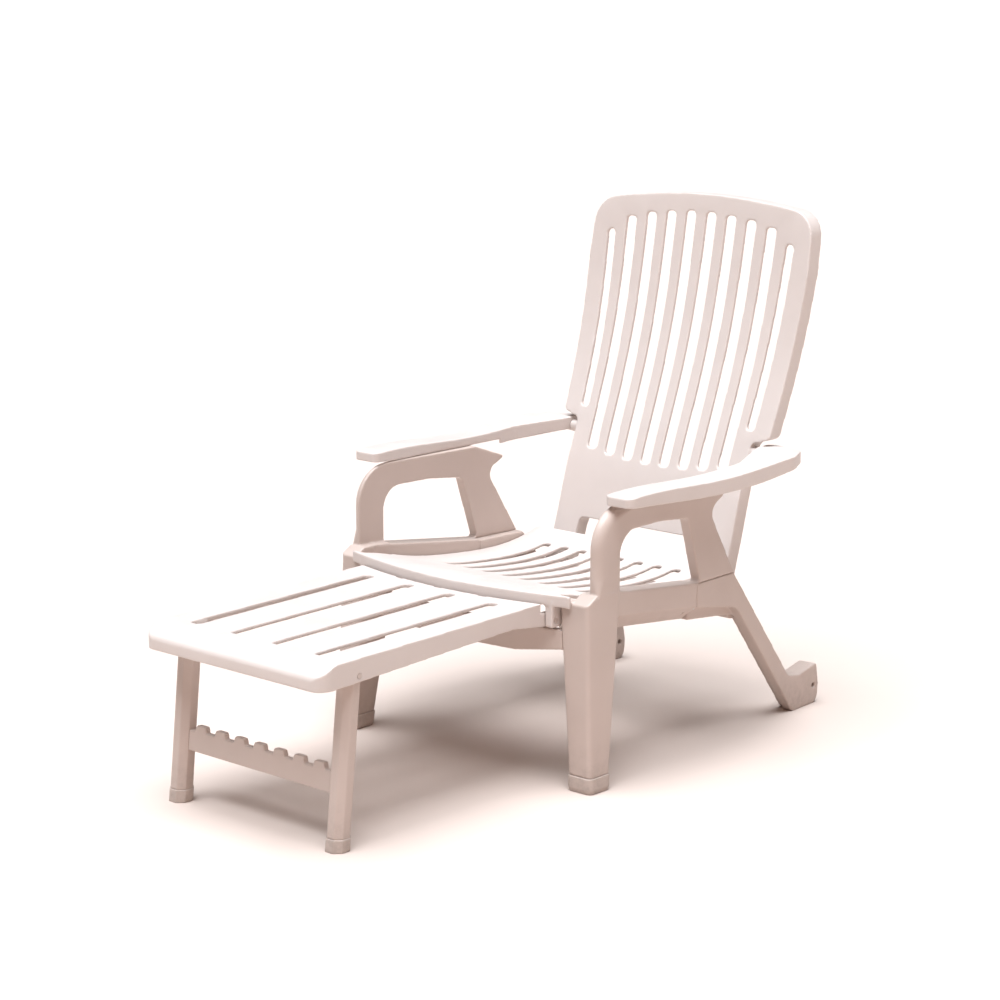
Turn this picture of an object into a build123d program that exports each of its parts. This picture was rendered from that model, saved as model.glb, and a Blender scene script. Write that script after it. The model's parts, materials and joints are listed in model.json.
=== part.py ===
from build123d import *
import os
from math import atan2, degrees, radians, tan

# Reclining sun lounger, moulded plastic. X runs across, the footrest points to -Y, Z is up.
# Stations along Y are measured from the front legs and moved to the middle of the length
# at the end, so that the origin lies on the ground under the middle of the whole object.

# ---- driving dimensions (mm) ----
FOOTREST_NOSE_Y = -620.0
REAR_FOOT_Y = 745.0
MIDDLE_Y = (FOOTREST_NOSE_Y + REAR_FOOT_Y) / 2

FRAME_X = 319.0            # outer face of a side frame at station Y = 0
TOE_IN = 3.3               # degrees that each side frame turns in towards the rear
FRAME_T = 40.0             # thickness of the leg and the rail
POST_T = 22.0              # thickness of the arch and its sloping post
ARCH_FRONT_Y = -6.0
ARCH_BEND_R = 78.0
ARCH_TOP_Z = 523.0
ARCH_END_Y = 312.0         # where the flat top of the arch ends and the arm rocks

BACK_PIVOT = (469.0, 248.0)       # (Y, Z) of the pins that carry the back
ARM_PIVOT = (576.0, 536.0)        # (Y, Z) of the pins that carry the armrests
FOOTREST_PIVOT = (-42.0, 316.0)   # (Y, Z) of the pins that carry the footrest
LEG_PIVOT = (-528.0, 308.0)       # (Y, Z) of the pins that carry the footrest legs

WALL = 5.0                 # thickness of skirts and rims
PLATE = 8.0                # thickness of the slatted surfaces
RUNNING_FIT = 0.05         # radial clearance of a pin in its hole
BODY_GAP = 0.3             # air left between parts that move past each other

BACK_APEX_Z = 1042.0       # where the two halves of the arched top would meet if not rounded
BACK_DEPTH = 36.0          # depth of the rim round the back
BACK_BOSS_R = 23.0         # bosses on the rear legs that hold the back's pins
ARM_INNER_X = 293.0        # inner edge of an armrest along the arch
ARM_OUTER_X = 357.0
FRONT_BOW_RADIUS = 881.0   # plan radius of the seat's front edge
FRONT_EDGE_Y = -89.0       # front edge of the seat at its middle
FOOTREST_HALF = 230.0
FOOTREST_CORNER_R = 28.0
FOOTREST_LEG_X = 204.0
FOOTREST_LEG_WIDTH = 40.0  # across the flats of the octagon
FOOT_CAP_Z = 30.0          # height of the caps under the front legs

HINGE_PIN_R = 7.0
SMALL_PIN_R = 5.0
SCREW_R = 2.5


# ---- drawing helpers ----
def outline(points, radii):
    """A closed flat outline with rounded corners."""
    return make_face(FilletPolyline(*points, radius=radii, close=True))


def across(face, low, high):
    """A (Y, Z) outline made solid from X = low to X = high."""
    return extrude(Plane.YZ.offset(low) * face, high - low)


def along(face, low, high):
    """An (X, Z) outline made solid from Y = low to Y = high."""
    return extrude(Plane.XZ.offset(-high) * face, high - low)


def upward(face, low, high):
    """An (X, Y) outline made solid from Z = low to Z = high."""
    return extrude(Plane.XY.offset(low) * face, high - low)


def block(x, y, z):
    """A box given by its (low, high) pairs."""
    size = [pair[1] - pair[0] for pair in (x, y, z)]
    middle = [(pair[1] + pair[0]) / 2 for pair in (x, y, z)]
    return Pos(*middle) * Box(*size)


def rod(low, high, centre, radius):
    """A round bar parallel to X, with its axis at centre = (Y, Z)."""
    bar = Rot(0, 90, 0) * Cylinder(radius, high - low)
    return Pos((low + high) / 2, *centre) * bar


def slot(start, end, width, corner=9.0):
    """A rounded slot outline whose end walls are at the points start and end."""
    run = (end[0] - start[0], end[1] - start[1])
    length = (run[0] ** 2 + run[1] ** 2) ** 0.5
    turn = degrees(atan2(run[1], run[0])) - 90
    middle = ((start[0] + end[0]) / 2, (start[1] + end[1]) / 2)
    return Pos(*middle) * Rot(0, 0, turn) * RectangleRounded(width, length, corner)


def both_sides(solid):
    """The solid and its mirror image on the other side of the lounger."""
    return solid + mirror(solid, about=Plane.YZ)


def blend_points(low, high, share):
    """The values part of the way from low to high."""
    return [a + (b - a) * share for a, b in zip(low, high)]


# ---- side frame: front leg, rail, arch and post in one moulding ----
RAIL_FRONT = (58.0, 363.0)      # top of the rail at the front leg
RAIL_SEAM = (306.0, 333.0)      # top of the rail at the rear leg's seam
RAIL_OUTER_DEPTH = 46.0
RAIL_INNER_DEPTH = 80.0
LEG_FOOT = (280.0, 334.0, -44.0, 10.0)    # X low, X high, Y low, Y high at the ground
LEG_HIP = (250.0, 319.0, -37.0, 57.0)     # the same under the seat
LEG_HIP_Z = 345.0


def toed_in(solid):
    """Places a part drawn with its outer face on X = 0 as the left side frame lies."""
    return Pos(FRAME_X, 0, 0) * Rot(0, 0, TOE_IN) * solid


def leg_section(z, grow=0.0):
    """The front leg's rounded section at height z."""
    x_low, x_high, y_low, y_high = blend_points(LEG_FOOT, LEG_HIP, z / LEG_HIP_Z)
    width = x_high - x_low + 2 * grow
    depth = y_high - y_low + 2 * grow
    middle = Pos((x_low + x_high) / 2, (y_low + y_high) / 2, z)
    return middle * RectangleRounded(width, depth, 9.0 + grow)


def seat_underside(drop):
    """The (Y, Z) curve of the seat's surface, lowered by drop."""
    points = [(-140, 352), (-50, 366), (80, 337), (230, 317), (400, 319), (480, 342)]
    return Spline(*[(y, z - drop) for y, z in points])


def seat_region(top_drop, floor_z):
    """The (Y, Z) area under the seat's lowered surface, down to floor_z."""
    curve = seat_underside(top_drop)
    start = curve @ 0
    end = curve @ 1
    sides = Polyline((end.X, end.Y), (end.X, floor_z), (start.X, floor_z), (start.X, start.Y))
    return make_face(curve + sides)


def leg_block():
    """The splayed front leg from its foot cap to above the seat, before its top is shaped."""
    hip = leg_section(LEG_HIP_Z)
    return loft([leg_section(FOOT_CAP_Z), hip]) + extrude(hip, 30)


def side_frame():
    """The left side frame."""
    waist = (344.0, 468.0)
    arch_points = [(ARCH_FRONT_Y, 330), (ARCH_FRONT_Y, ARCH_TOP_Z), (ARCH_END_Y, ARCH_TOP_Z),
                   (396, 493), waist, (430, 331), (306, 331), (306, 300), (50, 330)]
    plate = across(outline(arch_points, [0, ARCH_BEND_R, 8, 4, 22, 0, 0, 0, 0]), -POST_T, 0)
    window_points = [(59, 362), (59, 474), (180, 474), (273, 464), (316, 332)]
    window = across(outline(window_points, [8, 46, 60, 12, 6]), -FRAME_T - 1, 1)
    upper = plate - window

    # the rail is deeper inside than outside, with a slanting underside between the two
    rail_start = 20.0
    run = RAIL_SEAM[0] - rail_start
    fall = (RAIL_SEAM[1] - RAIL_FRONT[1]) * run / (RAIL_SEAM[0] - RAIL_FRONT[0])
    top = RAIL_SEAM[1] - fall
    section = outline([(0, top), (-FRAME_T, top), (-FRAME_T, top - RAIL_INNER_DEPTH),
                       (0, top - RAIL_OUTER_DEPTH)], [2, 2, 3, 3])
    rail = extrude(Plane.XZ.offset(-rail_start) * section, (run ** 2 + fall ** 2) ** 0.5,
                   dir=(0, run, fall))
    frame = toed_in(upper + rail)

    # the splayed leg: its inner shoulder lies under the seat, its outer half meets the arch
    leg = leg_block()
    inner_x = FRAME_X - FRAME_T
    shoulder = leg & across(seat_region(PLATE + 1.0, 0), 200, inner_x)
    slope = outline([(-80, 0), (-80, 325), (-12, 366), (70, 366), (70, 0)], [0, 0, 0, 0, 0])
    outer_half = leg & across(slope, inner_x, 400)
    panel = Pos(334, -16, 165) * Rot(0, -2.5, 0) * Box(8, 34, 190)
    return frame + (shoulder + outer_half - panel)


# ---- rear leg: the raked leg with its boot-like foot, butted to the side frame ----
SEAM_TOP_Z = 331.0


def rear_leg():
    """The left rear leg."""
    seam_y = RAIL_SEAM[0]
    outer_points = [(seam_y, SEAM_TOP_Z), (430, SEAM_TOP_Z), (634, 79), (672, 72), (738, 84),
                    (746, 40), (742, 0), (650, 0), (441, 259), (seam_y, 285)]
    outer = across(outline(outer_points, [0, 0, 10, 20, 6, 4, 20, 10, 40, 0]), -POST_T, 0)
    inner_points = [(seam_y, SEAM_TOP_Z), (430, SEAM_TOP_Z), (634, 79), (672, 72), (738, 84),
                    (746, 40), (742, 0), (664, 0), (472, 236), (seam_y, 256)]
    inner = across(outline(inner_points, [0, 0, 10, 20, 6, 4, 20, 10, 30, 0]), -FRAME_T, -POST_T)
    toe_hole = rod(-FRAME_T - 1, 1, (728, 38), 5.5)
    splice = block((-FRAME_T - 6, -FRAME_T), (264, 350), (266, 292))
    leg = toed_in(outer + inner - toe_hole + splice)
    boss = rod(231.5, 262, BACK_PIVOT, BACK_BOSS_R)
    bore = rod(230, 284, BACK_PIVOT, HINGE_PIN_R + RUNNING_FIT)
    return leg + boss - bore


# ---- seat ----
SEAT_SLOTS = (24.0, 74.0, 122.0, 170.0)
SEAT_SLOT_WIDTH = 22.0
SEAT_SLOT_ENDS = (108.0, 412.0)


def seat_half_width(y):
    """Half the seat's width at station y, just clear of the side frames."""
    return FRAME_X - FRAME_T - 1.5 - tan(radians(TOE_IN)) * y


def seat_plan(shrink):
    """The seat's plan outline, drawn in by shrink."""
    front = -70.0
    rear = 470.0 - shrink
    wide = seat_half_width(front) - shrink
    narrow = seat_half_width(rear) - shrink
    blank = outline([(-wide, front), (wide, front), (narrow, rear), (-narrow, rear)],
                    [1, 1, 14, 14])
    blank += make_face(Polyline((-wide, front), (wide, front), (0, front - 40), close=True))
    blank += Pos(0, front) * Rectangle(2 * wide - 2, 60)
    bow = Pos(0, FRONT_EDGE_Y + FRONT_BOW_RADIUS) * Circle(FRONT_BOW_RADIUS - shrink)
    return blank & bow


def seat_panel():
    """The slatted seat with its lips, hinge lugs and screw lugs."""
    shell = upward(seat_plan(0), 270, 400) & across(seat_region(0, 296), -300, 300)
    hollow = upward(seat_plan(WALL), 200, 400) & across(seat_region(PLATE, 150), -310, 310)
    seat = shell - hollow
    # the skirts are shallow beside the legs and along the sides
    seat -= across(outline([(-60, 200), (-60, 346), (84, 316), (230, 296), (480, 296),
                            (480, 200)], [0] * 6), -320, 320)
    seat -= across(outline([(-200, 200), (-200, 330), (-40, 330), (-40, 200)], [0] * 4),
                   -320, 320)
    for x in SEAT_SLOTS:
        face = slot((x, SEAT_SLOT_ENDS[0]), (x, SEAT_SLOT_ENDS[1]), SEAT_SLOT_WIDTH)
        seat -= both_sides(upward(face, 200, 400))
    return seat - both_sides(leg_block())


# ---- back ----
BACK_CURVE = ((436, 215), (497, 345), (528, 450), (602, 652), (646, 797), (674, 933), (694, 1050))
BACK_SLOTS = ((24, 26, 487, 992), (73, 77, 489, 989), (121.5, 128, 493, 983), (170, 180, 500, 972))
BACK_SLOT_WIDTH = 26.0
OUTER_SLOT = (215.5, 230, 580, 942)       # X and Z of its lower and upper ends
OUTER_SLOT_WIDTH = 20.0
TAB_X = (172.0, 230.0)
TAB_SOLID_Z = 285.0
EAR_R = BACK_DEPTH / 2
ARM_BOSS_END_X = 246.0
ARM_BOSS_R = 13.0


def back_region(front_shift, rear_shift):
    """The (Y, Z) area between the back's front curve moved rearwards by two amounts."""
    front = Spline(*[(y + front_shift, z) for y, z in BACK_CURVE])
    rear = Spline(*[(y + rear_shift, z) for y, z in BACK_CURVE])
    return make_face(front + Line(front @ 1, rear @ 1) + rear + Line(rear @ 0, front @ 0))


def back_outline():
    """The back seen from the front: arched top, shoulders over the arms, and two lower tabs."""
    right = [(165, 363), (TAB_X[0], 230), (TAB_X[1], 230), (226, 556), (267, 568), (282, 890),
             (277, 1004)]
    radii = [14, 6, 8, 12, 12, 300, 58]
    left = [(-x, z) for x, z in reversed(right)]
    return outline(right + [(0, BACK_APEX_Z)] + left, radii + [1500] + radii[::-1])


def back_panel():
    """The slatted back with its rim, its hinge ears and the bosses for the armrests."""
    face = back_outline()
    shell = along(face, 420, 780) & across(back_region(0, BACK_DEPTH), -300, 300)
    inside = offset(face, -WALL - 1)
    back = shell - (along(inside, 420, 800) & across(back_region(PLATE, 90), -300, 300))
    for low_x, high_x, low_z, high_z in BACK_SLOTS:
        cut = along(slot((low_x, low_z), (high_x, high_z), BACK_SLOT_WIDTH), 400, 800)
        back -= both_sides(cut)
    low_x, high_x, low_z, high_z = OUTER_SLOT
    back -= both_sides(along(slot((low_x, low_z), (high_x, high_z), OUTER_SLOT_WIDTH), 400, 800))
    tab = block(TAB_X, (420, 560), (BACK_PIVOT[1], TAB_SOLID_Z))
    tab &= across(back_region(0, BACK_DEPTH), 0, 300)
    back -= block((-300, 300), (400, 560), (200, BACK_PIVOT[1]))
    back += both_sides(tab)
    back += both_sides(rod(*TAB_X, BACK_PIVOT, EAR_R))
    back += both_sides(rod(205, ARM_BOSS_END_X, ARM_PIVOT, ARM_BOSS_R))
    back -= both_sides(rod(160, 240, BACK_PIVOT, HINGE_PIN_R + RUNNING_FIT))
    back -= both_sides(rod(206, 250, ARM_PIVOT, SMALL_PIN_R + RUNNING_FIT))
    return back


# ---- armrests ----
ARM_TOP = ((20, 542), (100, 547), (280, 541.5), (420, 545), (520, 552), (640, 554))
ARM_HEM = ((20, 526), (120, 522), (238, 515), (330, 513), (455, 518), (542, 527), (640, 530))
ARM_PLATE = 6.0
ARM_CLEAR_Y = 400.0        # the inner skirt reaches below the arch's top only behind this
ARM_LUG_X = (246.6, 259.0)
TOOTH_PITCH = 38.0


def arm_region(top_drop, hem_drop):
    """The (Y, Z) area between an armrest's top and its hem, each lowered."""
    top = Spline(*[(y, z - top_drop) for y, z in ARM_TOP])
    hem = Spline(*[(y, z - hem_drop) for y, z in ARM_HEM])
    return make_face(top + Line(top @ 1, hem @ 1) + hem + Line(hem @ 0, top @ 0))


def armrest():
    """The left armrest: a long board with a skirt, widening to a paddle at its rear."""
    plan = outline([(ARM_INNER_X, 36), (ARM_OUTER_X, 36), (ARM_OUTER_X, 536), (334, 588),
                    (262, 604), (246, 592), (247, 560), (ARM_INNER_X, 440)],
                   [14, 16, 38, 22, 12, 6, 30, 60])
    shell = upward(plan, 500, 570) & across(arm_region(0, 0), 200, 400)
    hollow = upward(offset(plan, -WALL), 480, 570) & across(arm_region(ARM_PLATE, 30), 200, 400)
    arm = shell - hollow
    arm -= block((280, 345), (0, ARM_CLEAR_Y), (500, ARCH_TOP_Z + BODY_GAP))
    # teeth of the recline rack, outboard of the arch
    for index in range(7):
        y = 110 + TOOTH_PITCH * index
        tooth = block((323, 353), (y, y + 5), (527, 570)) & across(arm_region(1, 0), 200, 400)
        arm += tooth
    lug = rod(*ARM_LUG_X, ARM_PIVOT, 12) + block(ARM_LUG_X, (564, 588), (536, 549))
    return arm + lug - rod(240, 262, ARM_PIVOT, SMALL_PIN_R + RUNNING_FIT)


# ---- footrest ----
FOOTREST_SLOTS = (53.0, 160.0)
FOOTREST_SLOT_WIDTH = 24.0
FOOTREST_SLOT_ENDS = (-558.0, -112.0)
EDGE_GAP = 5.0             # open joint between the seat and the footrest
HINGE_EAR_R = 13.0
HINGE_EAR_X = (218.0, FOOTREST_HALF)
SEAT_LUG_X = (FOOTREST_HALF + 1, FOOTREST_HALF + 18.5)
SEAT_LUG_LOW_Z = 303.0
LEG_LUG_X = (171.0, 181.0)


def footrest_plan():
    """The footrest's plan outline: round front corners and a hollow rear edge."""
    half = FOOTREST_HALF
    face = outline([(-half, FOOTREST_NOSE_Y), (half, FOOTREST_NOSE_Y), (half, -50), (-half, -50)],
                   [FOOTREST_CORNER_R, FOOTREST_CORNER_R, 0, 0])
    centre = Pos(0, FRONT_EDGE_Y + FRONT_BOW_RADIUS)
    return face - centre * Circle(FRONT_BOW_RADIUS + EDGE_GAP)


def footrest_panel():
    """The slatted footrest with its skirts, hinge ears and lugs for its legs."""
    nose = FOOTREST_NOSE_Y
    skin = outline([(-40, 349), (nose + 34, 339), (nose, 318), (nose, 293), (-40, 318)],
                   [0, 42, 14, 3, 0])
    inside = outline([(-30, 341), (nose + 36, 331), (nose + WALL, 313), (nose + WALL, 250),
                      (-30, 250)], [0, 36, 10, 0, 0])
    plan = footrest_plan()
    panel = upward(plan, 250, 400) & across(skin, -300, 300)
    panel -= upward(offset(plan, -WALL), 200, 400) & across(inside, -300, 300)
    # the rear wall is a shallow lip between the side skirts
    panel -= block((-212, 212), (-120, -40), (280, 332))
    for x in FOOTREST_SLOTS:
        face = slot((x, FOOTREST_SLOT_ENDS[0]), (x, FOOTREST_SLOT_ENDS[1]), FOOTREST_SLOT_WIDTH)
        panel -= both_sides(upward(face, 200, 400))
    # shallow finger recesses in the top of the rear edge, between the slots
    for x in (-107, 0, 107):
        panel -= Pos(x, -98, 350) * Box(22, 30, 6)
    y, z = FOOTREST_PIVOT
    arm_points = [(-140, 314), (-140, 334), (y - 14, z + HINGE_EAR_R), (y, z + HINGE_EAR_R),
                  (y, z - HINGE_EAR_R), (y - 14, z - HINGE_EAR_R)]
    ear = across(outline(arm_points, [0, 0, 0, 0, 0, 0]), *HINGE_EAR_X)
    ear += rod(*HINGE_EAR_X, FOOTREST_PIVOT, HINGE_EAR_R)
    lug = rod(*LEG_LUG_X, LEG_PIVOT, 12)
    lug += block(LEG_LUG_X, (LEG_PIVOT[0] - 12, LEG_PIVOT[0] + 12), (LEG_PIVOT[1], 334))
    ear -= rod(210, 240, FOOTREST_PIVOT, SMALL_PIN_R + RUNNING_FIT)
    panel += both_sides(ear + lug)
    return panel - both_sides(rod(160, 235, LEG_PIVOT, SMALL_PIN_R + RUNNING_FIT))


def hinge_lug():
    """The lug under the seat's front corner that carries a footrest pin."""
    y, z = FOOTREST_PIVOT
    neck = outline([(y - 13, SEAT_LUG_LOW_Z), (y - 13, 352), (y - 6, 363), (y + 30, 352),
                    (y + 13, SEAT_LUG_LOW_Z)], [4, 2, 0, 0, 6])
    return across(neck, *SEAT_LUG_X) - rod(200, 260, FOOTREST_PIVOT, SMALL_PIN_R + RUNNING_FIT)


# ---- footrest leg frame ----
LEG_LEAN = degrees(atan2(33.0, LEG_PIVOT[1]))
FOOTREST_CAP_Z = 24.0
CROSSBAR_LOW = 212.0       # distances down the leg from its pin
CROSSBAR_HIGH = 174.0
COMB_HIGH = 162.0
COMB_PITCH = 51.0
COMB_TEETH = 7


def leaned(solid):
    """Turns a part drawn straight below the origin into the leg frame's lean."""
    return Pos(0, *LEG_PIVOT) * Rot(-LEG_LEAN, 0, 0) * solid


def octagon_bar(across_flats, low, high):
    """An upright eight-sided bar."""
    face = RegularPolygon(across_flats / 2, 8, major_radius=False, rotation=22.5)
    return upward(Pos(FOOTREST_LEG_X, 0) * face, low, high)


def footrest_leg():
    """The left footrest leg, rounded over at its pin."""
    half = FOOTREST_LEG_WIDTH / 2
    bar = octagon_bar(FOOTREST_LEG_WIDTH, -330, half)
    bar -= block((150, 260), (-40, 40), (0, 40)) - rod(150, 260, (0, 0), half)
    leg = leaned(bar) & block((150, 260), (-700, -450), (FOOTREST_CAP_Z, 400))
    return leg - rod(150, 260, LEG_PIVOT, SMALL_PIN_R + RUNNING_FIT)


def footrest_foot_cap():
    """The cap under the left footrest leg."""
    bar = leaned(octagon_bar(FOOTREST_LEG_WIDTH + 3, -340, -250))
    return bar & block((150, 260), (-700, -450), (0, FOOTREST_CAP_Z))


def footrest_crossbar():
    """The bar between the footrest legs, with a toothed upper edge."""
    end = FOOTREST_LEG_X - FOOTREST_LEG_WIDTH / 2
    bar = block((-end, end), (-8, 8), (-CROSSBAR_LOW, -CROSSBAR_HIGH))
    bar -= block((-end + 12, end - 12), (-3, 20), (-CROSSBAR_LOW + 5, -CROSSBAR_HIGH - 5))
    for index in range(COMB_TEETH):
        x = COMB_PITCH * (index - (COMB_TEETH - 1) / 2)
        tooth = [(x - 15, -CROSSBAR_HIGH - 1), (x - 11, -COMB_HIGH), (x + 11, -COMB_HIGH),
                 (x + 15, -CROSSBAR_HIGH - 1)]
        bar += along(outline(tooth, [0, 4, 4, 0]), -8, 4)
    return leaned(bar)


# ---- cross rails ----
FRONT_RAIL_Z = (248.0, 298.0)
REAR_RAIL_Y = (360.0, 384.0)
REAR_RAIL_Z = (262.0, 296.0)
FRONT_SCREWS = ((10, 268), (10, 285))          # (Y, Z) at each end
REAR_SCREWS = ((398, 270), (398, 288))
SPLICE_SCREWS = ((280, 276), (294, 284), (322, 276), (338, 284))
SEAT_SCREWS = ((150, 310.5), (240, 302), (420, 305))


def front_cross_rail():
    """The bowed rail between the front legs, screwed to them through end flanges."""
    half_span = 250.0
    bow = 28.0
    radius = (half_span ** 2 + bow ** 2) / (2 * bow)
    centre = Pos(0, -58 + radius)
    ring = centre * Circle(radius + 9) - centre * Circle(radius - 9)
    rail = upward(ring & Rectangle(560, 240), *FRONT_RAIL_Z)
    rising = outline([(160, 200), (160, FRONT_RAIL_Z[0]), (290, FRONT_RAIL_Z[0] + 18), (290, 200)],
                     [0, 0, 0, 0])
    rail -= both_sides(along(rising, -200, 100))
    flange = block((247, 264), (-34, 26), (260, 294))
    rail = rail + both_sides(flange) - both_sides(leg_block())
    return rail - screw_bores(FRONT_SCREWS)


def rear_cross_rail():
    """The hidden rail between the rear legs, under the rear of the seat."""
    bar = block((-275, 275), REAR_RAIL_Y, REAR_RAIL_Z)
    bar += both_sides(block((243, 262), (REAR_RAIL_Y[0], 412), REAR_RAIL_Z))
    bar -= both_sides(toed_in(block((-FRAME_T, 60), (200, 600), (0, 400))))
    return bar - screw_bores(REAR_SCREWS)


# ---- screws, all driven outwards from the inner side ----
SCREW_HEAD_R = 5.0
SCREW_HEAD_T = 3.0
SCREW_LENGTH = 26.0
SCREW_SEAT = 0.4           # air under a screw's head, because the face it bears on slants
BORE_X = (225.0, 292.0)


def inner_face_x(y):
    """X of a side frame's inner face at station y."""
    return FRAME_X - FRAME_T - tan(radians(TOE_IN)) * y


def screws(places, head_x):
    """Screws at (Y, Z) places on both sides; head_x(y) is where the head bears."""
    group = []
    for place in places:
        face = head_x(place[0]) - SCREW_SEAT
        screw = rod(face - SCREW_HEAD_T, face, place, SCREW_HEAD_R)
        group.append(screw + rod(face, face + SCREW_LENGTH, place, SCREW_R))
    return group + [mirror(one, about=Plane.YZ) for one in group]


def screw_bores(places):
    """Blind holes for the screws at places, on both sides."""
    holes = [rod(*BORE_X, place, SCREW_R + RUNNING_FIT) for place in places]
    return both_sides(sum(holes[1:], holes[0]))


# ---- pins, pegs and caps ----
def back_hinge_pin():
    """The headed pin that carries the back's left ear."""
    return rod(162, 169, BACK_PIVOT, 11) + rod(169, 282, BACK_PIVOT, HINGE_PIN_R)


def arm_pivot_pin():
    """The headed pin that carries the left armrest."""
    return rod(207, 260, ARM_PIVOT, SMALL_PIN_R) + rod(260, 263, ARM_PIVOT, 8)


def footrest_hinge_pin():
    """The pin between the footrest's left ear and the seat's lug."""
    return rod(214.5, 217.5, FOOTREST_PIVOT, 8) + rod(217.5, 248, FOOTREST_PIVOT, SMALL_PIN_R)


def footrest_leg_pin():
    """The pin at the top of the left footrest leg."""
    return rod(167, 170.5, LEG_PIVOT, 8) + rod(170.5, FOOTREST_HALF, LEG_PIVOT, SMALL_PIN_R)


ARM_PEG = (302.0, 190.0)
ARM_PEG_R = 3.2


def arm_guide_peg():
    """The peg on the arch that keeps the left armrest in line."""
    return Pos(*ARM_PEG, ARCH_TOP_Z - 8) * Cylinder(ARM_PEG_R, 28)


def front_foot_cap():
    """The flared cap under the left front leg."""
    sole = loft([leg_section(0, 0.5), leg_section(8, 3)])
    return sole + loft([leg_section(8, 3), leg_section(FOOT_CAP_Z, 2)])


# ---- whole parts with the holes that their neighbours need ----
def bored_side_frame():
    """The side frame with its screw and peg holes."""
    frame = side_frame()
    peg_hole = Pos(*ARM_PEG, ARCH_TOP_Z - 1) * Cylinder(ARM_PEG_R + RUNNING_FIT, 42.2)
    frame -= screw_bores(FRONT_SCREWS + SEAT_SCREWS[:2])
    return frame - peg_hole - screw_bores(SPLICE_SCREWS[:2])


def bored_rear_leg():
    """The rear leg with its screw holes."""
    leg = rear_leg() - screw_bores(SPLICE_SCREWS) - screw_bores(REAR_SCREWS)
    return leg - screw_bores(SEAT_SCREWS[2:])


def bored_seat():
    """The seat with its hinge lugs and screw holes."""
    return seat_panel() + both_sides(hinge_lug()) - screw_bores(SEAT_SCREWS)


def moved(shape):
    """The shape with its stations measured from the middle of the length."""
    return Pos(0, -MIDDLE_Y, 0) * shape


PAIRS = {
    "side_frame": bored_side_frame,
    "rear_leg": bored_rear_leg,
    "armrest": armrest,
    "footrest_leg": footrest_leg,
    "footrest_foot_cap": footrest_foot_cap,
    "front_foot_cap": front_foot_cap,
    "back_hinge_pin": back_hinge_pin,
    "arm_pivot_pin": arm_pivot_pin,
    "arm_guide_peg": arm_guide_peg,
    "footrest_hinge_pin": footrest_hinge_pin,
    "footrest_leg_pin": footrest_leg_pin,
}

SINGLES = {
    "back_panel": back_panel,
    "seat_panel": bored_seat,
    "footrest_panel": footrest_panel,
    "footrest_crossbar": footrest_crossbar,
    "front_cross_rail": front_cross_rail,
    "rear_cross_rail": rear_cross_rail,
}

GROUPS = {
    "rear_leg_screws": screws(SPLICE_SCREWS, lambda y: inner_face_x(y) - 6),
    "seat_screws": screws(SEAT_SCREWS, lambda y: seat_half_width(y) - WALL - 0.3),
    "cross_rail_screws": screws(FRONT_SCREWS, lambda y: 247.0)
    + screws(REAR_SCREWS, lambda y: 243.0),
}

os.makedirs("parts", exist_ok=True)
for name, build in PAIRS.items():
    left = build()
    export_step(moved(left), f"parts/{name}_left.step")
    export_step(moved(mirror(left, about=Plane.YZ)), f"parts/{name}_right.step")
for name, build in SINGLES.items():
    export_step(moved(build()), f"parts/{name}.step")
for name, members in GROUPS.items():
    export_step(Compound(children=[moved(member) for member in members]), f"parts/{name}.step")
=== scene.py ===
import json
import math

import bpy
import numpy as np
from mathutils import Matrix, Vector


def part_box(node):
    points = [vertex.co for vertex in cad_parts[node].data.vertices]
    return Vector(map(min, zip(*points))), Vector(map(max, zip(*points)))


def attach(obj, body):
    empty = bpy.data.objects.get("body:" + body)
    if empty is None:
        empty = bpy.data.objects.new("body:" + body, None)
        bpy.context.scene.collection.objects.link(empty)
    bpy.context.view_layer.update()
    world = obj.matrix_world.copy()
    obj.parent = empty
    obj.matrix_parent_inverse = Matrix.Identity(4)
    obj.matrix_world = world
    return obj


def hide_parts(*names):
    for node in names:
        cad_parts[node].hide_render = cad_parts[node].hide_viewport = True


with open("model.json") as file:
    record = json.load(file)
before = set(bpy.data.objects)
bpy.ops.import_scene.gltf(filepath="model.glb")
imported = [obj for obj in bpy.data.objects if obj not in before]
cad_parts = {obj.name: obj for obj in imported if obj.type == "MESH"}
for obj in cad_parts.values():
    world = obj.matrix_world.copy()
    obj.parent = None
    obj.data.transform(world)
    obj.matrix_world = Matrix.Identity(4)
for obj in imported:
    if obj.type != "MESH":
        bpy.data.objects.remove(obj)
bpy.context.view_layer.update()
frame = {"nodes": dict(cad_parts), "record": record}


# ---- camera, lights and floor ----
CAMERA_AZIMUTH = math.radians(42.4)
CAMERA_ELEVATION = math.radians(11.9)
CAMERA_DISTANCE = 5.06
CAMERA_TARGET = Vector((0.0, 0.0147, 0.4873))
CAMERA_LENS = 95.5                    # mm, on a sensor CAMERA_SENSOR wide
CAMERA_SENSOR = 36.0
SIGHT_RANGE = 200.0

SKY_COLOUR, SKY_STRENGTH = (1.0, 0.99, 0.98), 0.08
FLOOR_REACH = 150.0
FLOOR_COLOUR = (0.66, 0.57, 0.52)
# name, azimuth and elevation in degrees, strength, softness in degrees, colour
LAMPS = (
    ("overhead", 10.0, 80.0, 6.0, 50.0, (0.97, 1.0, 1.04)),
    ("warm_fill", 60.0, 12.0, 0.40, 60.0, (1.0, 0.50, 0.30)),
)


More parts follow.
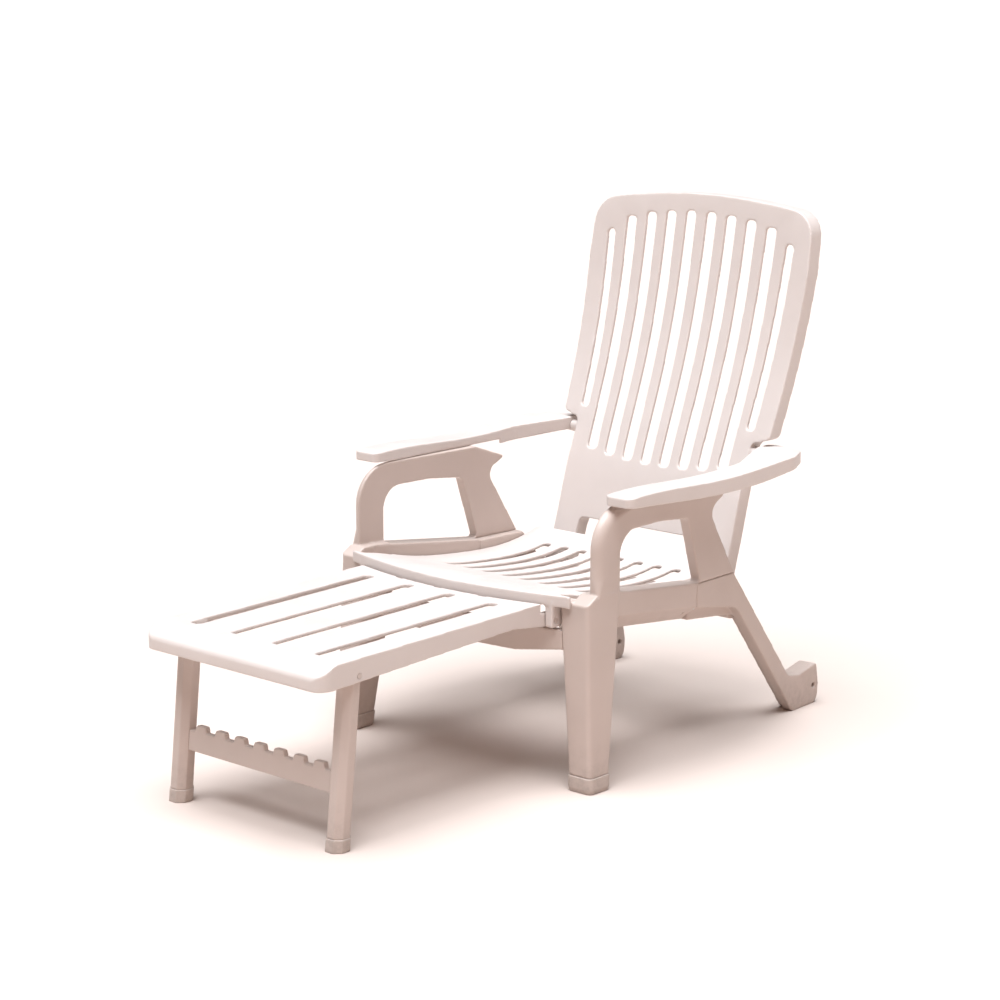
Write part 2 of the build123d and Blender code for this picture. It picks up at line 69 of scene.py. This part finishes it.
def make_camera():
    """A long lens looking slightly down, from the footrest's end and the sitter's left."""
    flat = math.cos(CAMERA_ELEVATION)
    away = Vector((math.sin(CAMERA_AZIMUTH) * flat, -math.cos(CAMERA_AZIMUTH) * flat,
                   math.sin(CAMERA_ELEVATION)))
    data = bpy.data.cameras.new("camera")
    data.lens = CAMERA_LENS
    data.sensor_width = CAMERA_SENSOR
    data.clip_end = SIGHT_RANGE
    camera = bpy.data.objects.new("camera", data)
    camera.location = CAMERA_TARGET + away * CAMERA_DISTANCE
    camera.rotation_euler = (-away).to_track_quat("-Z", "Y").to_euler()
    bpy.context.scene.collection.objects.link(camera)
    bpy.context.scene.camera = camera


def sun(name, azimuth, elevation, strength, softness, colour):
    """A broad distant lamp; angles in degrees, azimuth 0 is towards -Y."""
    data = bpy.data.lights.new(name, "SUN")
    data.energy = strength
    data.angle = math.radians(softness)
    data.color = colour
    turn, rise = math.radians(azimuth), math.radians(elevation)
    towards = Vector((math.sin(turn) * math.cos(rise), -math.cos(turn) * math.cos(rise),
                      math.sin(rise)))
    lamp = bpy.data.objects.new(name, data)
    lamp.rotation_euler = (-towards).to_track_quat("-Z", "Y").to_euler()
    bpy.context.scene.collection.objects.link(lamp)


def make_world(colour, strength):
    """An even pale sky."""
    world = bpy.data.worlds.new("sky")
    world.use_nodes = True
    background = world.node_tree.nodes["Background"]
    background.inputs["Color"].default_value = (*colour, 1.0)
    background.inputs["Strength"].default_value = strength
    bpy.context.scene.world = world


def make_floor():
    """A wide plain floor, pale and slightly warm."""
    corners = [(across * FLOOR_REACH, along * FLOOR_REACH, 0.0)
               for across, along in ((-1, -1), (1, -1), (1, 1), (-1, 1))]
    mesh = bpy.data.meshes.new("floor")
    mesh.from_pydata(corners, [], [(0, 1, 2, 3)])
    floor = bpy.data.objects.new("floor", mesh)
    bpy.context.scene.collection.objects.link(floor)
    material = bpy.data.materials.new("floor_paint")
    material.use_nodes = True
    shader = material.node_tree.nodes["Principled BSDF"]
    shader.inputs["Base Color"].default_value = (*FLOOR_COLOUR, 1.0)
    shader.inputs["Roughness"].default_value = 1.0
    shader.inputs["Specular IOR Level"].default_value = 0.0
    mesh.materials.append(material)


# ---- materials ----
GROUND_DARKENING_HEIGHT = 0.10
GROUND_DARKENING_TONE = 0.72                     # the colour close to the ground, as a share of the worn resin's colour


def add(tree, kind, **inputs):
    """A new node with its named input values set."""
    node = tree.nodes.new(kind)
    for key, value in inputs.items():
        node.inputs[key.replace("_", " ")].default_value = value
    return node


def noise(tree, place, scale, detail, roughness):
    """A noise texture over the object's own space, scale per metre."""
    node = add(tree, "ShaderNodeTexNoise", Scale=scale, Detail=detail, Roughness=roughness)
    tree.links.new(place.outputs["Object"], node.inputs["Vector"])
    return node


def ramp(tree, source, low, high, low_value, high_value):
    """Maps source from [low, high] to [low_value, high_value], clamped."""
    node = tree.nodes.new("ShaderNodeMapRange")
    for name, value in (("From Min", low), ("From Max", high), ("To Min", low_value),
                        ("To Max", high_value)):
        node.inputs[name].default_value = value
    tree.links.new(source, node.inputs["Value"])
    return node.outputs["Result"]


def mix_colour(tree, factor, first, second):
    """Blends two colours, each a tuple or a socket."""
    node = tree.nodes.new("ShaderNodeMix")
    node.data_type = "RGBA"
    tree.links.new(factor, node.inputs["Factor"])
    for name, value in (("A", first), ("B", second)):
        socket = [s for s in node.inputs if s.name == name and s.type == "RGBA"][0]
        if isinstance(value, tuple):
            socket.default_value = (*value, 1.0)
        else:
            tree.links.new(value, socket)
    return [s for s in node.outputs if s.type == "RGBA"][0]


def resin(name, clean, worn, rough, grain_depth):
    """Moulded white polypropylene: fine spark grain, faint mottling, and darker towards the
    ground.
    """
    material = bpy.data.materials.new(name)
    material.use_nodes = True
    tree = material.node_tree
    shader = tree.nodes["Principled BSDF"]
    place = tree.nodes.new("ShaderNodeTexCoord")

    mottle = noise(tree, place, 7.0, 4.0, 0.6)
    mottled = ramp(tree, mottle.outputs["Fac"], 0.35, 0.68, 0.0, 0.5)
    colour = mix_colour(tree, mottled, clean, worn)

    # darker towards the ground, broken up by noise
    height = tree.nodes.new("ShaderNodeSeparateXYZ")
    tree.links.new(place.outputs["Object"], height.inputs["Vector"])
    low = ramp(tree, height.outputs["Z"], 0.0, GROUND_DARKENING_HEIGHT, 1.0, 0.0)
    ground_breakup = noise(tree, place, 55.0, 6.0, 0.7)
    patches = ramp(tree, ground_breakup.outputs["Fac"], 0.42, 0.66, 0.15, 0.75)
    ground_darkening = tree.nodes.new("ShaderNodeMath")
    ground_darkening.operation = "MULTIPLY"
    tree.links.new(low, ground_darkening.inputs[0])
    tree.links.new(patches, ground_darkening.inputs[1])
    ground_dark_colour = tuple(GROUND_DARKENING_TONE * part for part in worn)
    colour = mix_colour(tree, ground_darkening.outputs["Value"], colour, ground_dark_colour)
    tree.links.new(colour, shader.inputs["Base Color"])

    sheen_map = noise(tree, place, 24.0, 5.0, 0.6)
    roughness = ramp(tree, sheen_map.outputs["Fac"], 0.3, 0.7, rough - 0.06, rough + 0.10)
    tree.links.new(roughness, shader.inputs["Roughness"])

    # the grain of the mould, and the slow sink marks of thick plastic
    grain = noise(tree, place, 1400.0, 2.0, 0.5)
    sink = noise(tree, place, 16.0, 1.0, 0.4)
    sink_bump = add(tree, "ShaderNodeBump", Strength=0.25, Distance=0.0012)
    tree.links.new(sink.outputs["Fac"], sink_bump.inputs["Height"])
    grain_bump = add(tree, "ShaderNodeBump", Strength=0.35, Distance=grain_depth)
    tree.links.new(grain.outputs["Fac"], grain_bump.inputs["Height"])
    tree.links.new(sink_bump.outputs["Normal"], grain_bump.inputs["Normal"])
    tree.links.new(grain_bump.outputs["Normal"], shader.inputs["Normal"])

    shader.inputs["IOR"].default_value = 1.49
    shader.inputs["Subsurface Weight"].default_value = 0.08
    shader.inputs["Subsurface Radius"].default_value = (0.006, 0.005, 0.004)
    shader.inputs["Subsurface Scale"].default_value = 1.0
    return material


def plated_steel(name):
    """Zinc-plated screws: pale metal with fine turning marks."""
    material = bpy.data.materials.new(name)
    material.use_nodes = True
    tree = material.node_tree
    shader = tree.nodes["Principled BSDF"]
    shader.inputs["Metallic"].default_value = 1.0
    place = tree.nodes.new("ShaderNodeTexCoord")
    tarnish = noise(tree, place, 300.0, 4.0, 0.6)
    amount = ramp(tree, tarnish.outputs["Fac"], 0.4, 0.7, 0.0, 1.0)
    colour = mix_colour(tree, amount, (0.66, 0.66, 0.64), (0.45, 0.44, 0.41))
    tree.links.new(colour, shader.inputs["Base Color"])
    roughness = ramp(tree, tarnish.outputs["Fac"], 0.3, 0.7, 0.28, 0.5)
    tree.links.new(roughness, shader.inputs["Roughness"])
    bump = add(tree, "ShaderNodeBump", Strength=0.3, Distance=0.0001)
    tree.links.new(tarnish.outputs["Fac"], bump.inputs["Height"])
    tree.links.new(bump.outputs["Normal"], shader.inputs["Normal"])
    return material


MATERIALS = {
    "panel_resin": resin("white_panel_resin", clean=(0.66, 0.595, 0.565),
                         worn=(0.61, 0.545, 0.515), rough=0.42, grain_depth=0.00012),
    # frame resin: the same white polypropylene as the panels, painted darker and warmer as the
    # shade on the frame's mostly sideways faces
    "frame_resin": resin("white_frame_resin_painted_shade", clean=(0.56, 0.465, 0.42),
                         worn=(0.515, 0.425, 0.38), rough=0.40, grain_depth=0.00010),
    # foot caps: painted shade, the frame's shaded tone made darker again for the shade at the
    # bottom of the legs
    "cap_plastic": resin("foot_cap_plastic_painted_shade", clean=(0.53, 0.445, 0.40),
                         worn=(0.47, 0.395, 0.355), rough=0.55, grain_depth=0.00020),
    "pin_plastic": resin("pin_plastic", clean=(0.57, 0.49, 0.45),
                         worn=(0.52, 0.445, 0.41), rough=0.35, grain_depth=0.00006),
    "screw_steel": plated_steel("zinc_plated_steel"),
}
SLOT_OF = {part["node"]: part["material_slot"] for part in frame["record"]["subparts"]}
BODY_OF = {node: body for body, nodes in frame["record"]["behaviour"]["bodies"].items()
           for node in nodes}


# ---- moulded pieces: each CAD node as one seamless moulding with soft edges ----
EASE_FACTOR = 0.5
SMALLEST = 1e-9                       # keeps divisors above zero


def remeshed(node, voxel, passes):
    """A new mesh of the node with an even fine surface and its edges eased."""
    source = frame["nodes"][node].data.copy()
    source.materials.clear()
    work = bpy.data.objects.new("work", source)
    bpy.context.scene.collection.objects.link(work)
    shell = work.modifiers.new("shell", "REMESH")
    shell.mode = "VOXEL"
    shell.voxel_size = voxel
    shell.adaptivity = 0.0
    ease = work.modifiers.new("ease", "SMOOTH")
    ease.factor = EASE_FACTOR
    ease.iterations = passes
    bpy.context.view_layer.update()
    mesh = bpy.data.meshes.new_from_object(
        work.evaluated_get(bpy.context.evaluated_depsgraph_get()))
    bpy.data.objects.remove(work)
    bpy.data.meshes.remove(source)
    return mesh


def thinned(mesh, share):
    """The mesh with its flat stretches made of fewer faces."""
    work = bpy.data.objects.new("work", mesh)
    bpy.context.scene.collection.objects.link(work)
    thin = work.modifiers.new("thin", "DECIMATE")
    thin.ratio = share
    bpy.context.view_layer.update()
    result = bpy.data.meshes.new_from_object(
        work.evaluated_get(bpy.context.evaluated_depsgraph_get()))
    bpy.data.objects.remove(work)
    bpy.data.meshes.remove(mesh)
    return result


def read_points(mesh):
    """The mesh's vertices as an array."""
    points = np.empty(len(mesh.vertices) * 3)
    mesh.vertices.foreach_get("co", points)
    return points.reshape(-1, 3)


def write_points(mesh, points):
    """Moves the mesh's vertices to points."""
    mesh.vertices.foreach_set("co", points.reshape(-1))
    mesh.update()


def place_piece(name, mesh, node):
    """Shows mesh as the piece that stands for node."""
    mesh.materials.clear()
    mesh.materials.append(MATERIALS[SLOT_OF[node]])
    mesh.shade_smooth()
    piece = bpy.data.objects.new(name, mesh)
    bpy.context.scene.collection.objects.link(piece)
    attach(piece, BODY_OF[node])
    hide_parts(node)


def mirrored(mesh):
    """A copy of the mesh on the other side of the lounger."""
    twin = mesh.copy()
    points = read_points(twin)
    points[:, 0] *= -1
    write_points(twin, points)
    twin.flip_normals()
    return twin


def mould(node, voxel, passes, share, shape=None):
    """The finished mesh for a node, with an optional function that shapes its points."""
    mesh = remeshed(node, voxel, passes)
    if shape:
        points = read_points(mesh)
        write_points(mesh, shape(points))
    return thinned(mesh, share)


# ---- the wide rounding on the side frames' outer edges ----
TOE_IN = math.radians(3.3)
FRAME_FACE_X = 0.319                  # outer face of the side frame at the front legs
FRONT_LEG_Y = -0.0625                 # Y of the front legs' station, where the local y is 0
ARCH_BEND = 0.078                     # radius of the bend from the arch's front to its top
ARCH_FRONT = -0.006
ARCH_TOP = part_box("side_frame_left")[1].z
ARCH_DEPTH = 0.024                    # takes in the arch plate, not what lies behind it
PLAIN_ROUND, ARCH_ROUND = 0.003, 0.0205   # radius of an ordinary edge, and of the wide rounding
ROUND_FOOT = 0.362                    # the wide rounding starts at this height
ROUND_GROWS = 0.035                   # and reaches its full radius this much higher
ROUND_ENDS, ROUND_FADES = 0.125, 0.06   # its rear end along y, and the length it fades over
EDGE_BEHIND, EDGE_AHEAD = 0.05, 0.004   # points this near the arch's front and top faces move
ARCH_REAR = 0.3                       # and none behind this y


def local_from_world(points):
    """Points in the left side frame's own axes: its outer face on x = 0, y along it."""
    x = points[:, 0] - FRAME_FACE_X
    y = points[:, 1] - FRONT_LEG_Y
    out = points.copy()
    out[:, 0] = x * math.cos(TOE_IN) + y * math.sin(TOE_IN)
    out[:, 1] = -x * math.sin(TOE_IN) + y * math.cos(TOE_IN)
    return out


def world_from_local(points):
    """The reverse of local_from_world."""
    out = points.copy()
    x, y = points[:, 0], points[:, 1]
    out[:, 0] = x * math.cos(TOE_IN) - y * math.sin(TOE_IN) + FRAME_FACE_X
    out[:, 1] = x * math.sin(TOE_IN) + y * math.cos(TOE_IN) + FRONT_LEG_Y
    return out


def rounded_corner(depth, inset, radius):
    """Moves points at (depth, inset) from two square faces onto a rounded edge."""
    a = depth - radius
    b = inset - radius
    length = np.hypot(a, b)
    outside = (a < 0) & (b < 0) & (length > radius)
    scale = np.where(outside, radius / np.maximum(length, SMALLEST), 1.0)
    return a * scale + radius, b * scale + radius


def shape_side_frame(points):
    """Rounds the arch's outer front edge to a wide radius that fades under the armrest."""
    local = local_from_world(points)
    x, y, z = local[:, 0], local[:, 1], local[:, 2]
    centre_y, centre_z = ARCH_FRONT + ARCH_BEND, ARCH_TOP - ARCH_BEND
    across_y, up_z = y - centre_y, z - centre_z
    bend = (across_y < 0) & (up_z > 0)
    top = (across_y >= 0) & (up_z > 0)
    reach = np.maximum(np.hypot(across_y, up_z), SMALLEST)
    inset = np.where(bend, ARCH_BEND - reach, np.where(top, ARCH_TOP - z, y - ARCH_FRONT))
    normal_y = np.where(bend, across_y / reach, np.where(top, 0.0, -1.0))
    normal_z = np.where(bend, up_z / reach, np.where(top, 1.0, 0.0))
    fade_low = np.clip((z - ROUND_FOOT) / ROUND_GROWS, 0, 1)
    fade_back = np.clip((ROUND_ENDS - y) / ROUND_FADES, 0, 1)
    radius = PLAIN_ROUND + (ARCH_ROUND - PLAIN_ROUND) * fade_low * fade_back
    new_depth, new_inset = rounded_corner(-x, inset, radius)
    near = ((inset < EDGE_BEHIND) & (inset > -EDGE_AHEAD) & (z > ROUND_FOOT)
            & (x > -ARCH_DEPTH) & (y < ARCH_REAR))
    local[:, 0] = np.where(near, -new_depth, x)
    moved = np.where(near, new_inset - inset, 0.0)
    local[:, 1] = y - normal_y * moved
    local[:, 2] = z - normal_z * moved
    return world_from_local(local)


# ---- build everything ----
# node: (voxel size, smoothing passes, share of faces kept, shaping function)
PAIRED = {
    "side_frame": (0.0020, 5, 0.30, shape_side_frame),
    "rear_leg": (0.0020, 6, 0.30, None),
    "armrest": (0.0016, 5, 0.40, None),
    "footrest_leg": (0.0016, 4, 0.40, None),
    "footrest_foot_cap": (0.0012, 4, 0.60, None),
    "front_foot_cap": (0.0014, 4, 0.60, None),
}
SINGLE = {
    "back_panel": (0.0021, 5, 0.20, None),
    "seat_panel": (0.0021, 5, 0.22, None),
    "footrest_panel": (0.0019, 5, 0.24, None),
    "footrest_crossbar": (0.0014, 4, 0.40, None),
    "front_cross_rail": (0.0020, 4, 0.40, None),
    "rear_cross_rail": (0.0022, 4, 0.40, None),
}


def main():
    """Builds the whole scene."""
    bpy.context.scene.view_settings.view_transform = "Standard"
    make_camera()
    make_world(SKY_COLOUR, SKY_STRENGTH)
    make_floor()
    for lamp in LAMPS:
        sun(*lamp)

    for stem, (voxel, passes, share, shape) in PAIRED.items():
        left = mould(f"{stem}_left", voxel, passes, share, shape)
        right = mirrored(left)
        place_piece(f"{stem}_left_moulding", left, f"{stem}_left")
        place_piece(f"{stem}_right_moulding", right, f"{stem}_right")
    for node, (voxel, passes, share, shape) in SINGLE.items():
        place_piece(f"{node}_moulding", mould(node, voxel, passes, share, shape), node)
    for node, piece in frame["nodes"].items():
        if not piece.hide_render:
            slots = piece.data.materials
            for index in range(len(slots)):
                slots[index] = MATERIALS[SLOT_OF[node]]


main()
